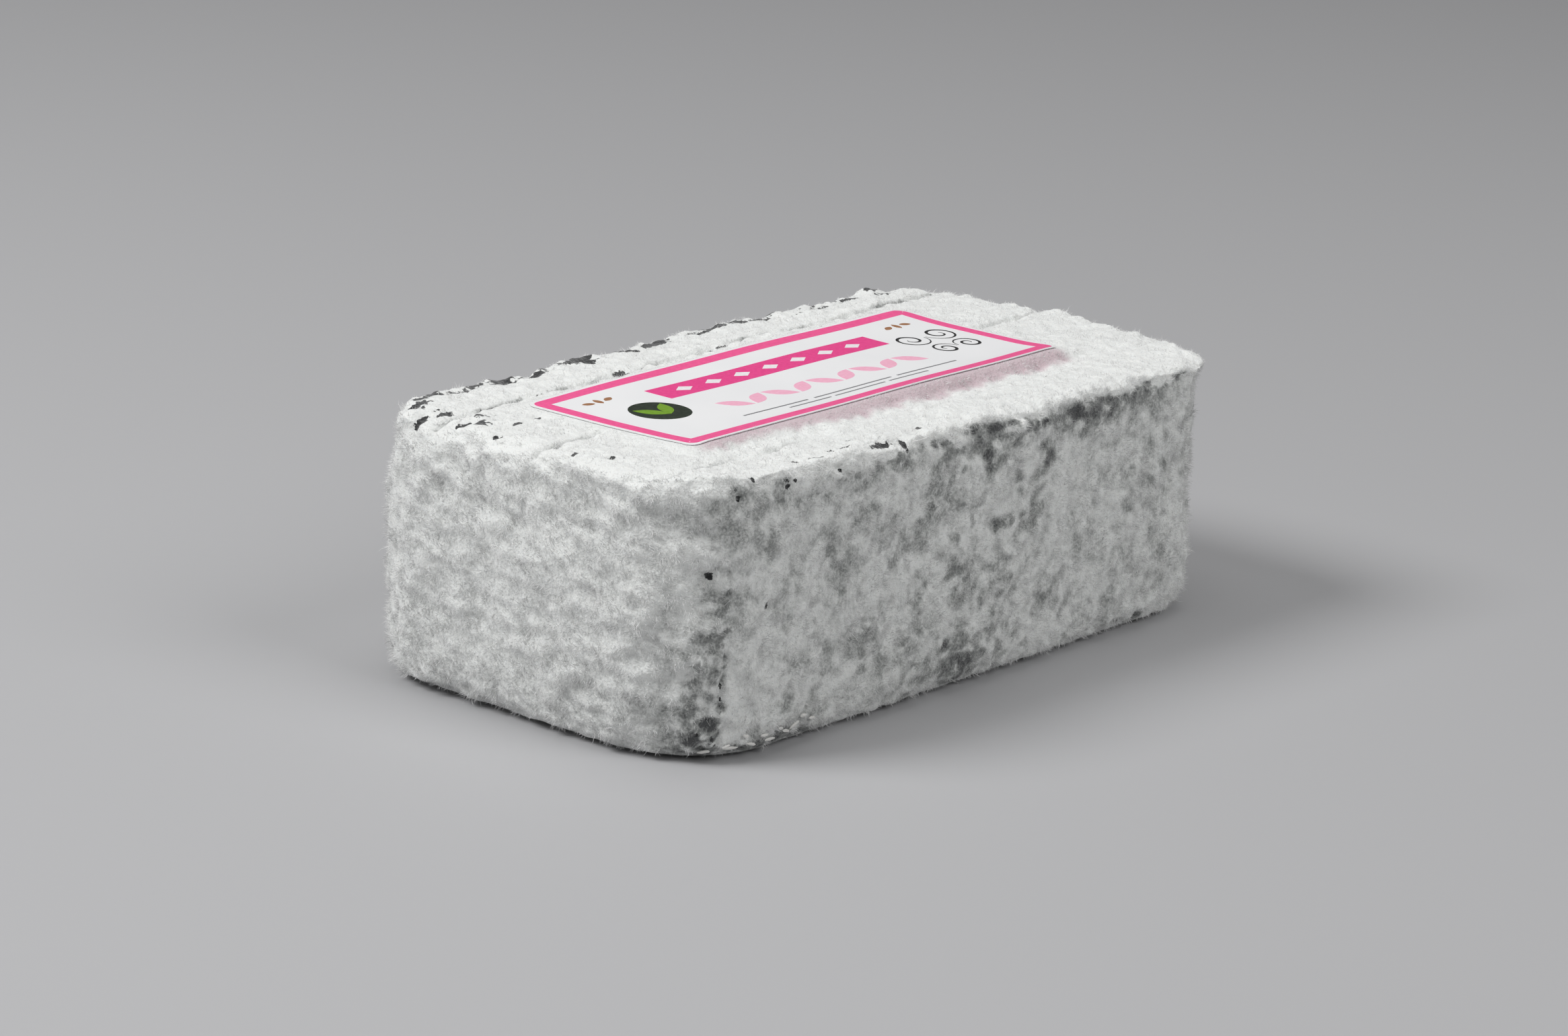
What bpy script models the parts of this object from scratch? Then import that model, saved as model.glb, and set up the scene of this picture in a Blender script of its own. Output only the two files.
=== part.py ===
"""A brick of ash-coated sheep cheese with a paper label on its top.

The cheese lies flat on its base, its length along X. The origin is the middle of its
box at the height of the base. Metres, +Z up.
"""

import math

import bmesh
import bpy
from mathutils import Vector, noise

# Cheese body
LENGTH = 0.1147
WIDTH = 0.0572
HEIGHT = 0.0358
TOP_EDGE_RADIUS = 0.0026
BASE_EDGE_RADIUS = 0.0043
END_LEAN = 0.0004
SIDE_DRAFT = 0.0003
END_BULGE = 0.0009
END_BULGE_START = 0.55

# Plan corners, named by the signs of X and Y
CORNER_RADIUS = {(-1, -1): 0.0160, (1, -1): 0.0140, (1, 1): 0.0120, (-1, 1): 0.0096}
CORNER_SHIFT_X = {(-1, -1): -0.0008, (1, -1): 0.0003, (1, 1): -0.0003, (-1, 1): 0.0008}
CORNER_SHIFT_Y = {(-1, -1): 0.0006, (1, -1): -0.0006, (1, 1): 0.0004, (-1, 1): -0.0004}
CORNER_RISE = {(-1, -1): 0.0003, (1, -1): 0.0000, (1, 1): -0.0003, (-1, 1): 0.0000}

# Three drainage creases along the top, a little askew
CREASE_PLACES = (-0.0173, 0.0017, 0.0193)
CREASE_SLOPE = 0.041
CREASE_SLOPE_FADE = 6
CREASE_DEPTH = 0.0007
CREASE_HALF_WIDTH = 0.0009

# Lumps of the rind
BROAD_LUMP_CELL = 0.0170
BROAD_LUMP = 0.0008
SOFT_LUMP_CELL = 0.0062
SOFT_LUMP = 0.0007
TOP_LUMP_SHARE = 0.55
RIM_LUMP_CELL = 0.0048
RIM_LUMP = 0.0009
RIM_REACH = 0.0040
LUMP_SEED = Vector((3.7, 11.2, 5.9))
RIM_SEED = Vector((17.3, 2.4, 8.8))

# A lip of rind that overhangs the corner at +X, -Y, and the hollow of the wall under it
LIP_PLACE = (0.0500, -0.0255)
LIP_REACH = 0.0024
LIP_SPREAD = 0.0046
LIP_DEPTH = 0.0015
HOLLOW_DEPTH = 0.0011
HOLLOW_SPREAD = 0.0120
HOLLOW_MIDDLE = 0.0105
HOLLOW_REACH = 0.0085

# Spacing of the mesh
SIDE_STEP = 0.0026
TOP_EDGE_CUTS = (0.0008, 0.0017, 0.0028)
BASE_EDGE_CUTS = (0.0011, 0.0025, 0.0043)

# Paper label
LABEL_LENGTH = 0.0795
LABEL_WIDTH = 0.0274
LABEL_THICKNESS = 0.00030
LABEL_CENTRE = (-0.0034, 0.0002)
LABEL_TURN = math.radians(0.5)
LABEL_CORNER = 0.0016
LABEL_CORNER_SEGMENTS = 3
LABEL_CELLS = (26, 9)
LABEL_BED = 0.0003
LABEL_GAP = 0.00034
LABEL_MARGIN = 0.0022
LABEL_NEAR_LIFT = 0.0006
LABEL_NEAR_LIFT_START = 0.60
LABEL_NEAR_LIFT_FLOOR = 0.45
LABEL_FAR_LIFT = 0.0005
LABEL_FAR_LIFT_START = 0.25
LABEL_END_LEAN = 0.0003
LABEL_END_SINK = 0.0001
LABEL_END_START = 0.55
LABEL_WAVE = 0.00005
LABEL_WAVE_LENGTH = 0.034

BIG = 10.0


def smooth(low, high, value):
    """Rises softly from 0 at low to 1 at high."""
    share = min(1.0, max(0.0, (value - low) / (high - low)))
    return share * share * (3.0 - 2.0 * share)


def bell(distance, spread):
    """A soft bump of height 1 and the given spread."""
    return math.exp(-((distance / spread) ** 2))


def sign(value):
    return -1 if value < 0.0 else 1


def between_corners(table, x, y):
    """Blends a value held at the four plan corners."""
    along = min(1.0, max(0.0, x / LENGTH + 0.5))
    across = min(1.0, max(0.0, y / WIDTH + 0.5))
    near = table[(-1, -1)] * (1.0 - along) + table[(1, -1)] * along
    far = table[(-1, 1)] * (1.0 - along) + table[(1, 1)] * along
    return near * (1.0 - across) + far * across


def round_edge(inset, depth, radius):
    """Moves a point given by its inset and depth from a square edge onto a round one."""
    if inset >= radius or depth >= radius:
        return inset, depth
    across = radius - inset
    down = radius - depth
    pull = max(across, down) / math.hypot(across, down)
    return radius - across * pull, radius - down * pull


def plan_place(x, y, inset, new_inset):
    """Places a plan point on the outline with round corners, at a new inset from it."""
    side = (sign(x), sign(y))
    radius = CORNER_RADIUS[side]
    across_x = abs(x) - (LENGTH / 2.0 - radius)
    across_y = abs(y) - (WIDTH / 2.0 - radius)
    if across_x > 0.0 and across_y > 0.0:
        reach = (radius - new_inset) / math.hypot(across_x, across_y)
        new_x = side[0] * (LENGTH / 2.0 - radius + across_x * reach)
        new_y = side[1] * (WIDTH / 2.0 - radius + across_y * reach)
        return new_x, new_y
    if LENGTH / 2.0 - abs(x) <= inset:
        return side[0] * (LENGTH / 2.0 - new_inset), y
    if WIDTH / 2.0 - abs(y) <= inset:
        return x, side[1] * (WIDTH / 2.0 - new_inset)
    return x, y


def brick_place(point):
    """The place on the softly rounded brick of a point of the square block."""
    x, y, z = point
    inset = max(0.0, min(LENGTH / 2.0 - abs(x), WIDTH / 2.0 - abs(y)))
    new_inset, depth = round_edge(inset, HEIGHT - z, TOP_EDGE_RADIUS)
    new_inset, height = round_edge(new_inset, HEIGHT - depth, BASE_EDGE_RADIUS)
    new_x, new_y = plan_place(x, y, inset, new_inset)
    level = 2.0 * height / HEIGHT - 1.0
    new_x *= 1.0 + level * END_LEAN / (LENGTH / 2.0)
    new_y *= 1.0 - level * SIDE_DRAFT / (WIDTH / 2.0)
    new_x += between_corners(CORNER_SHIFT_X, x, y)
    new_y += between_corners(CORNER_SHIFT_Y, x, y)
    end = smooth(END_BULGE_START, 1.0, -x / (LENGTH / 2.0))
    new_x -= END_BULGE * end * math.sin(math.pi * height / HEIGHT)
    edge_fade = 1.0 - (abs(y) / (WIDTH / 2.0)) ** CREASE_SLOPE_FADE
    new_y += CREASE_SLOPE * x * edge_fade * smooth(0.0, TOP_EDGE_RADIUS, inset) * max(0.0, level)
    new_height = height * (1.0 + between_corners(CORNER_RISE, x, y) / HEIGHT)
    return Vector((new_x, new_y, new_height))


def lump_height(place, normal, inset, depth):
    """How far the rind stands out from the plain brick."""
    broad = noise.noise(place / BROAD_LUMP_CELL + LUMP_SEED) * BROAD_LUMP
    soft = noise.noise(place / SOFT_LUMP_CELL + LUMP_SEED) * SOFT_LUMP
    share = 1.0 - (1.0 - TOP_LUMP_SHARE) * smooth(0.5, 1.0, normal.z)
    rim = bell(inset, RIM_REACH) * bell(depth, RIM_REACH)
    crag = noise.noise(place / RIM_LUMP_CELL + RIM_SEED) * RIM_LUMP
    return (broad + soft) * share + crag * rim


def crease_depth(y, inset):
    """Depth of the creases, from the place across the square block."""
    deep = sum(bell(y - place, CREASE_HALF_WIDTH) for place in CREASE_PLACES)
    return CREASE_DEPTH * deep * (1.0 - 0.3 * smooth(0.0, LABEL_MARGIN, inset))


def lip_reach(place, depth):
    """Outward reach of the lip of rind at the corner, and of the hollow wall under it."""
    away = math.hypot(place.x - LIP_PLACE[0], place.y - LIP_PLACE[1])
    lip = LIP_REACH * bell(away, LIP_SPREAD) * bell(depth, LIP_DEPTH)
    hollow = HOLLOW_DEPTH * bell(away, HOLLOW_SPREAD) * bell(depth - HOLLOW_MIDDLE, HOLLOW_REACH)
    return lip - hollow


def to_label(x, y):
    """Turns a plan place into shares of the label's half length and half width."""
    from_x = x - LABEL_CENTRE[0]
    from_y = y - LABEL_CENTRE[1]
    along = from_x * math.cos(LABEL_TURN) + from_y * math.sin(LABEL_TURN)
    across = from_y * math.cos(LABEL_TURN) - from_x * math.sin(LABEL_TURN)
    return along, across


def label_underside(along, across):
    """Height of the label's underside over the base."""
    share_along = along / (LABEL_LENGTH / 2.0)
    share_across = across / (LABEL_WIDTH / 2.0)
    near = max(0.0, -share_across - LABEL_NEAR_LIFT_START) / (1.0 - LABEL_NEAR_LIFT_START)
    far = max(0.0, share_across - LABEL_FAR_LIFT_START) / (1.0 - LABEL_FAR_LIFT_START)
    lengthways = smooth(-1.1, 0.1, share_along)
    floor = LABEL_NEAR_LIFT_FLOOR
    lift = LABEL_NEAR_LIFT * near**2 * (floor + (1.0 - floor) * lengthways)
    lift += LABEL_FAR_LIFT * far**2 * lengthways
    end = smooth(LABEL_END_START, 1.05, -share_along)
    lift += end * (LABEL_END_LEAN * max(0.0, -share_across) - LABEL_END_SINK)
    wave = LABEL_WAVE * math.sin(2.0 * math.pi * along / LABEL_WAVE_LENGTH)
    return HEIGHT + LABEL_BED + lift + wave


def press_under_label(place):
    """Lowers the rind where the paper lies on it."""
    along, across = to_label(place.x, place.y)
    inside_along = abs(along) < LABEL_LENGTH / 2.0 + LABEL_MARGIN
    inside_across = abs(across) < LABEL_WIDTH / 2.0 + LABEL_MARGIN
    if inside_along and inside_across:
        place.z = min(place.z, label_underside(along, across) - LABEL_GAP)


def even_cuts(low, high, step):
    """Cut places between two ends, as near to the step as whole cells allow."""
    count = max(1, round((high - low) / step))
    return [low + (high - low) * i / count for i in range(count + 1)]


def plan_cuts(half):
    """Cut places along one plan axis, finer at the edges."""
    edge = [half - cut for cut in TOP_EDGE_CUTS]
    return sorted([-e for e in edge] + even_cuts(-edge[-1], edge[-1], SIDE_STEP)[1:-1] + edge)


def across_cuts():
    """Cut places across the width, with one along each crease and one on either side."""
    edges = [WIDTH / 2.0 - cut for cut in TOP_EDGE_CUTS]
    cuts = [-edge for edge in edges] + edges
    for place in CREASE_PLACES:
        cuts += [place - CREASE_HALF_WIDTH, place, place + CREASE_HALF_WIDTH]
    stops = [-edges[-1]]
    for place in CREASE_PLACES:
        stops += [place - CREASE_HALF_WIDTH, place + CREASE_HALF_WIDTH]
    stops.append(edges[-1])
    for low, high in zip(stops[0::2], stops[1::2]):
        cuts += even_cuts(low, high, SIDE_STEP)[1:-1]
    return sorted(cuts)


def height_cuts():
    """Cut places up the height, finer at both edges."""
    low = list(BASE_EDGE_CUTS)
    high = [HEIGHT - cut for cut in TOP_EDGE_CUTS]
    return sorted(low + even_cuts(low[-1], high[-1], SIDE_STEP)[1:-1] + high)


def cut_all(shape, axis, places):
    """Cuts the whole shape with planes across one axis."""
    across = Vector((0.0, 0.0, 0.0))
    across[axis] = 1.0
    for place in places:
        parts = shape.verts[:] + shape.edges[:] + shape.faces[:]
        bmesh.ops.bisect_plane(shape, geom=parts, plane_co=across * place, plane_no=across)


def block(length, width, low, high):
    """A square block, as a mesh to shape further."""
    shape = bmesh.new()
    bmesh.ops.create_cube(shape, size=1.0)
    bmesh.ops.scale(shape, vec=(length, width, high - low), verts=shape.verts)
    bmesh.ops.translate(shape, vec=(0.0, 0.0, (high + low) / 2.0), verts=shape.verts)
    return shape


def merge_flat_base(shape):
    """Makes one face of the flat part of the base."""
    flat = [face for face in shape.faces if all(v.co.z == 0.0 for v in face.verts)]
    bmesh.ops.dissolve_faces(shape, faces=flat, use_verts=False)


def cheese_shape():
    """The brick of cheese with its lumpy rind."""
    shape = block(LENGTH, WIDTH, 0.0, HEIGHT)
    cut_all(shape, 0, plan_cuts(LENGTH / 2.0))
    cut_all(shape, 1, across_cuts())
    cut_all(shape, 2, height_cuts())
    square = [vert.co.copy() for vert in shape.verts]
    for vert, start in zip(shape.verts, square):
        vert.co = brick_place(start)
    shape.normal_update()
    normals = [vert.normal.copy() for vert in shape.verts]
    for vert, start, normal in zip(shape.verts, square, normals):
        inset = min(LENGTH / 2.0 - abs(start.x), WIDTH / 2.0 - abs(start.y))
        depth = HEIGHT - start.z
        flat = start.z <= 0.0 and inset >= BASE_EDGE_RADIUS - TOP_EDGE_CUTS[0]
        if flat:
            vert.co.z = 0.0
            continue
        rise = smooth(0.0, BASE_EDGE_RADIUS, vert.co.z)
        stand = lump_height(vert.co, normal, inset, depth) * rise
        stand -= crease_depth(start.y, inset) * smooth(0.5, 1.0, normal.z)
        outward = Vector((normal.x, normal.y, 0.0))
        vert.co += normal * stand + outward * lip_reach(vert.co, depth)
        vert.co.z = max(vert.co.z, 0.0)
        if normal.z > 0.5:
            press_under_label(vert.co)
    merge_flat_base(shape)
    return shape


def label_shape():
    """The thin paper label, bent over the top of the cheese."""
    shape = block(LABEL_LENGTH, LABEL_WIDTH, 0.0, LABEL_THICKNESS)
    upright = [edge for edge in shape.edges if abs(edge.verts[0].co.z - edge.verts[1].co.z) > 0.0]
    bmesh.ops.bevel(
        shape,
        geom=upright,
        offset=LABEL_CORNER,
        segments=LABEL_CORNER_SEGMENTS,
        profile=0.5,
        affect="EDGES",
    )
    for axis, size in enumerate((LABEL_LENGTH, LABEL_WIDTH)):
        half = size / 2.0 - LABEL_CORNER
        cut_all(shape, axis, even_cuts(-half, half, size / LABEL_CELLS[axis]))
    bmesh.ops.triangulate(shape, faces=shape.faces[:])
    for vert in shape.verts:
        along, across, rise = vert.co
        x = LABEL_CENTRE[0] + along * math.cos(LABEL_TURN) - across * math.sin(LABEL_TURN)
        y = LABEL_CENTRE[1] + along * math.sin(LABEL_TURN) + across * math.cos(LABEL_TURN)
        vert.co = (x, y, label_underside(along, across) + rise)
    return shape


def plain_material(name, colour, roughness):
    """A Principled material of one colour."""
    material = bpy.data.materials.new(name)
    material.use_nodes = True
    shader = material.node_tree.nodes["Principled BSDF"]
    shader.inputs["Base Color"].default_value = (*colour, 1.0)
    shader.inputs["Roughness"].default_value = roughness
    shader.inputs["Metallic"].default_value = 0.0
    return material


def add_object(name, shape, material):
    """Makes an object of a shape, with smooth faces."""
    mesh = bpy.data.meshes.new(name)
    shape.to_mesh(mesh)
    shape.free()
    mesh.shade_smooth()
    mesh.materials.append(material)
    item = bpy.data.objects.new(name, mesh)
    bpy.context.scene.collection.objects.link(item)
    return item


def centre_over_origin(guide, items):
    """Moves the items so that the guide's box stands centred over the origin."""
    places = [vert.co for vert in guide.data.vertices]
    middle_x = (min(p.x for p in places) + max(p.x for p in places)) / 2.0
    middle_y = (min(p.y for p in places) + max(p.y for p in places)) / 2.0
    for item in items:
        for vert in item.data.vertices:
            vert.co.x -= middle_x
            vert.co.y -= middle_y


def main():
    for item in list(bpy.data.objects):
        bpy.data.objects.remove(item, do_unlink=True)
    rind = plain_material("bloomy rind", (0.78, 0.78, 0.78), 0.95)
    paper = plain_material("label paper", (0.86, 0.87, 0.88), 0.35)
    cheese = add_object("cheese", cheese_shape(), rind)
    label = add_object("label", label_shape(), paper)
    centre_over_origin(cheese, (cheese, label))


main()
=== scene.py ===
import math

import bmesh
import bpy
import numpy as np
from mathutils import Matrix, Vector, noise
from mathutils.bvhtree import BVHTree


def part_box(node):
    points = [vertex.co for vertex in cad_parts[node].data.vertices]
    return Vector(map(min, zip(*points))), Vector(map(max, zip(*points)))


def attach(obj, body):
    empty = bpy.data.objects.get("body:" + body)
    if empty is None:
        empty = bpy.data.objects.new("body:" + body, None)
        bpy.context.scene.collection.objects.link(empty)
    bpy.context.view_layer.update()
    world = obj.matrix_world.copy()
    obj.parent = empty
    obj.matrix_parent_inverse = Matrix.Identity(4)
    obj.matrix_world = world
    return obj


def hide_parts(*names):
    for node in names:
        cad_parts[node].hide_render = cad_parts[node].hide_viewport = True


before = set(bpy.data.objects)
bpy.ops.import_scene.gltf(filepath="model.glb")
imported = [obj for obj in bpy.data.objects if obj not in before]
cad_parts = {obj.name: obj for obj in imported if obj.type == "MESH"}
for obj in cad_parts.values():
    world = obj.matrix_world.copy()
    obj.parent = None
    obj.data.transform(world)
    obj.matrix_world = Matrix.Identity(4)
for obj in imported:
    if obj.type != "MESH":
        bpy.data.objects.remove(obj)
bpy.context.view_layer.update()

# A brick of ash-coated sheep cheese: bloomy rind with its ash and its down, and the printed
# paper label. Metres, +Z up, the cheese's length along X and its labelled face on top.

MM = 0.001

cheese_low, cheese_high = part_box("cheese")
label_low, label_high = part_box("label")
HALF_LENGTH = (cheese_high.x - cheese_low.x) / 2.0
HALF_WIDTH = (cheese_high.y - cheese_low.y) / 2.0
TOP = cheese_high.z

# Camera, from the photograph's own frame of 2373 by 1568 pixels
CAMERA_PLACE = Vector((-0.46426, -0.34941, 0.18079))
CAMERA_TURN = math.radians(52.7054)
CAMERA_DROP = math.radians(15.8223)
CAMERA_ROLL = math.radians(3.5893)
PHOTO_WIDTH = 2373.0
PHOTO_FOCAL = 6882.8
SENSOR = 36.0

# The rind's finer mesh, its relief as lump size and height, and how deep its relief starts
REFINE_LEVELS = 3
RIND_TRIANGLES = 194000
SWELL = (5.2 * MM, 0.38 * MM)
TUFT = (2.1 * MM, 0.84 * MM)
GRAIN = (0.95 * MM, 0.32 * MM)
TOP_TUFT = (2.0 * MM, 0.54 * MM)
TOP_GRAIN = (1.0 * MM, 0.32 * MM)
RIM_CRAG = (2.8 * MM, 0.60 * MM)
BASE_CRAG = (2.0 * MM, 0.80 * MM)
STROKE = (1.5 * MM, 0.25 * MM)
SIDE_SINK = 0.48 * MM
TOP_SINK = 0.30 * MM

# How closely lumps follow each other along each axis: on an end, on a long side, in its strokes
END_STRETCH = (1.0, 0.62, 1.05)
END_TILT = math.radians(17.0)
LONG_STRETCH = (0.84, 1.0, 1.0)
STROKE_STRETCH = (1.6, 1.6, 0.35)

# Creases along the top: their places across it in the middle, slope, width and depth, and
# where the far one's row starts
CREASES = (-17.3 * MM, 1.7 * MM, 19.3 * MM)
CREASE_SLOPE = 0.041
CREASE_WIDTH = 0.50 * MM
CREASE_DEPTH = 0.45 * MM
FAR_CREASE_ROW = (10.0 * MM, 16.0 * MM)

# How deep bare marks lie below the bloom
PIT_DEPTH = 0.45 * MM
PATCH_DEPTH = 0.22 * MM
SEAM_DEPTH = 0.40 * MM
NOTCH_DEPTH = 0.9 * MM

# Bare black pits in the top and its rim: place in plan, length and width, all in millimetres
TOP_PITS = (
    (-52.0, 23.5, 2.6, 0.8),
    (-55.6, 19.8, 1.8, 0.6),
    (-46.6, 24.9, 1.9, 0.8),
    (-52.0, 18.9, 1.7, 0.6),
    (-42.8, 25.0, 2.2, 0.9),
    (-45.8, 21.5, 1.4, 0.5),
    (-54.0, 13.5, 1.2, 0.5),
    (-55.3, 7.3, 0.9, 0.5),
    (-34.4, 24.6, 2.8, 1.2),
    (-49.9, 8.7, 1.0, 0.4),
    (-59.0, -1.6, 1.0, 0.8),
    (-28.5, 24.9, 3.4, 1.0),
    (-45.2, 9.4, 0.6, 0.4),
    (-55.1, -5.4, 0.9, 0.5),
    (-53.5, -9.8, 0.9, 0.4),
    (-18.0, 19.0, 1.6, 0.8),
    (-17.9, 24.9, 2.4, 0.8),
    (-8.0, 25.4, 1.8, 0.8),
    (6.5, 25.8, 2.6, 0.9),
    (19.0, 25.2, 1.6, 0.8),
    (33.0, 25.6, 2.2, 0.7),
    (-36.0, -24.4, 0.5, 0.6),
    (-33.4, -25.6, 1.5, 0.6),
    (-29.6, -25.0, 1.0, 0.5),
    (-26.3, -24.6, 1.1, 0.7),
    (-45.9, -25.7, 0.6, 0.5),
    (-23.2, -22.9, 0.7, 0.4),
    (-20.8, -26.3, 2.5, 0.65),
    (-16.5, -26.8, 0.75, 1.2),
    (-10.3, -24.3, 0.7, 0.4),
    (25.4, -18.2, 0.8, 0.7),
)

# Dark marks on the near long side: place along and height, length and height, in millimetres
SIDE_PITS = (
    (-52.0, 24.1, 0.5, 0.7),
    (-44.0, 19.4, 0.6, 0.6),
    (-48.5, 33.6, 0.4, 0.5),
    (-40.6, 33.9, 0.5, 0.4),
    (-31.0, 34.3, 0.5, 0.4),
)

# Patches of bare ash on the near long side, as places and sizes like those of the marks; the last three,
# low by the corner, are painted shadow under the rounded foot
ASH_AND_FOOT_SHADOW_PATCHES = (
    (-40.0, 34.7, 1.8, 0.6),
    (-31.0, 34.8, 1.6, 0.6),
    (-24.0, 34.6, 1.1, 1.0),
    (-18.5, 34.4, 1.3, 1.6),
    (-11.0, 34.6, 2.2, 1.0),
    (-3.0, 34.6, 2.2, 1.1),
    (2.5, 34.9, 3.0, 1.3),
    (9.5, 34.5, 4.2, 1.6),
    (0.9, 31.0, 0.8, 2.2),
    (3.6, 33.0, 1.2, 1.0),
    (-5.5, 28.2, 1.0, 0.9),
    (2.5, 21.2, 0.8, 1.1),
    (27.0, 34.2, 5.2, 1.9),
    (35.0, 34.8, 4.2, 1.5),
    (27.0, 31.6, 1.4, 1.2),
    (45.0, 34.4, 3.4, 1.0),
    (-1.5, 3.6, 4.2, 2.0),
    (-8.0, 6.4, 1.1, 0.9),
    (38.0, 1.2, 0.9, 1.8),
    (-34.5, 32.0, 1.3, 0.7),
    (13.0, 29.0, 1.8, 1.2),
    (20.0, 33.5, 2.0, 0.9),
    # These three are painted shadow under the rounded foot by the near corner.
    (-49.0, 1.0, 4.6, 1.5),
    (-41.5, 0.8, 5.0, 1.2),
    (-34.0, 0.7, 3.6, 0.9),
)
BASE_NOTCH = (38.0, 0.8, 0.9, 1.6)

# Soft hollows down the left end: across and height at both ends, half width and depth, in millimetres
END_HOLLOWS = (
    (-3.0, 33.2, -15.0, 32.4, 1.7, 0.55),
    (-15.0, 32.4, -27.0, 28.4, 1.9, 0.75),
    (-10.0, 28.6, -19.0, 25.6, 1.0, 0.35),
    (14.0, 28.8, 1.0, 26.4, 1.2, 0.30),
    (-24.0, 24.0, -27.5, 14.0, 1.7, 0.60),
    (-20.0, 17.0, -25.0, 9.0, 1.3, 0.35),
)

# Fine arcs on the near long side: their middle, how far out they lie, and their step
SWIRL_MIDDLE = (-23.5 * MM, 17.0 * MM)
SWIRL_REACH = 4.6 * MM
SWIRL_SPREAD = 2.6 * MM
SWIRL_STEP = 0.95 * MM

# Pale flakes on the near long side by the corner: place along and height, and length, in millimetres
FLAKES = (
    (-50.4, 1.6, 1.3),
    (-49.0, 2.5, 0.9),
    (-47.6, 1.9, 1.6),
    (-46.3, 3.2, 0.8),
    (-45.2, 2.2, 1.4),
    (-43.4, 2.9, 1.0),
    (-42.0, 2.2, 1.7),
    (-40.3, 3.4, 0.8),
    (-39.0, 2.6, 1.1),
    (-37.4, 3.0, 1.5),
    (-35.8, 3.9, 0.8),
    (-34.2, 3.2, 1.2),
)
FLAKE_SIZE = (0.65 * MM, 0.22 * MM, 0.16 * MM)
FLAKE_LIFT = 0.40 * MM

# The near corner's round in plan, and its seam and dark side (dark ash with painted shade) as turns
# round its middle, in degrees
CORNER_ROUND = 16.4 * MM
CORNER_MIDDLE = (-HALF_LENGTH + CORNER_ROUND, -HALF_WIDTH + CORNER_ROUND)
SEAM_TURN = 58.5
CORNER_SHADE = (20.0, 54.0)

# Ragged ash and painted shade under the top rim: how far down it starts and how far it reaches
BAND_START = 1.9 * MM
BAND_REACH = 3.4 * MM

# Colours of the rind, its down and its flakes, as linear light; the ash greys also colour painted shade,
# and the pink is painted shadow
BLOOM = (0.858, 0.872, 0.855)
ASH_AND_SHADE_GREY = (0.258, 0.268, 0.260)
DARK_ASH_AND_SHADE = (0.075, 0.078, 0.08)
CHAR = (0.012, 0.013, 0.014)
# The pink is painted shadow under the label's raised near edge.
PINK_LABEL_SHADOW = (0.60, 0.46, 0.50)
DOWN_WHITE = (0.88, 0.88, 0.875)
DOWN_SHADE = (0.74, 0.74, 0.74)
FLAKE_WHITE = (0.84, 0.83, 0.80)

# Down on the rind: how many fibres, their length and width, and how they lean, gather and root
NAP = (48000, 0.60 * MM, 0.100 * MM)
FLUFF = (48000, 0.95 * MM, 0.070 * MM)
TUFTS = (48000, 0.75 * MM, 0.090 * MM)
DOWN = (18500, 1.25 * MM, 0.060 * MM)
DOWN_LEAN = 0.50
DOWN_GATHER = 1.1
DOWN_ROOT = 0.06 * MM

# Label
LABEL_LENGTH = 79.5 * MM
LABEL_WIDTH = 27.4 * MM
LABEL_TURN = math.radians(0.5)
LABEL_CORNER = 1.6 * MM
PAPER = 0.11 * MM
PAPER_CLEARANCE = 0.07 * MM
PAPER_STEP = 1.0 * MM
INK = 0.015 * MM
INK_STEP = 1.4 * MM
FRAME_INSET = 0.45 * MM
FRAME_WIDTH = 1.9 * MM

# Colours of the paper and its inks, as linear light
PAPER_WHITE = (0.945, 0.948, 0.955)
PAPER_SHADE = (0.925, 0.93, 0.94)
FRAME_PINK = (0.91, 0.10, 0.31)
BAR_PINK = (0.84, 0.055, 0.27)
LOZENGE_WHITE = (0.90, 0.86, 0.88)
PETAL_PINK = (0.96, 0.47, 0.62)
SEAL_DARK = (0.012, 0.022, 0.010)
LEAF_LIME = (0.17, 0.34, 0.012)
SCROLL_BLACK = (0.012, 0.012, 0.013)
SEED_BROWN = (0.36, 0.17, 0.08)
RULE_GREY = (0.22, 0.22, 0.23)

# Print on the label, in its own length and width
BAR_PLACE = (0.0, 5.4 * MM)
BAR_SIZE = (23.4 * MM, 2.3 * MM)
LOZENGE_STEP = 6.0 * MM
LOZENGE_SIZE = (1.7 * MM, 1.0 * MM)
PETAL_LEVEL = -3.6 * MM
PETAL_STEP = 4.7 * MM
PETAL_SIZE = (2.7 * MM, 1.15 * MM)
PETAL_LEAN = math.radians(38.0)
SEAL_PLACE = (-29.3 * MM, 0.2 * MM)
SEAL_RADIUS = 4.1 * MM
LEAF_SIZE = (2.5 * MM, 1.0 * MM)
SCROLL_PLACE = (30.4 * MM, -0.3 * MM)
SCROLL_SPREAD = 3.1 * MM
SCROLL_RADIUS = 2.9 * MM
SCROLL_WIDTH = 0.46 * MM
SCROLL_TURNS = 1.6
SEED_PLACE = (30.0 * MM, 8.2 * MM)
SEED_SIZE = (0.95 * MM, 0.5 * MM)
RULE_WIDTH = 0.32 * MM

# Lamps: place, width and power, all aimed at one place in the cheese
LAMPS = {
    "key": ((-0.66, 0.42, 0.82), 0.50, 8.2),
    "overhead": ((0.00, 0.05, 1.20), 0.9, 3.0),
    "front": ((0.10, -0.95, 0.85), 0.8, 4.7),
}
LAMP_AIM = Vector((0.0, 0.0, 0.02))
ROOM_LIGHT = 0.15
FLOOR_GREY = (0.47, 0.47, 0.48)

label_centre = (label_low + label_high) / 2.0


def smooth(low, high, value):
    """Rises softly from 0 at low to 1 at high, for one value or an array."""
    share = np.clip((value - low) / (high - low), 0.0, 1.0)
    return share * share * (3.0 - 2.0 * share)


def bell(distance, spread):
    """A soft bump of height 1, for one distance or an array."""
    return np.exp(-((distance / spread) ** 2))


def deselect_all():
    bpy.ops.object.select_all(action="DESELECT")


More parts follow.
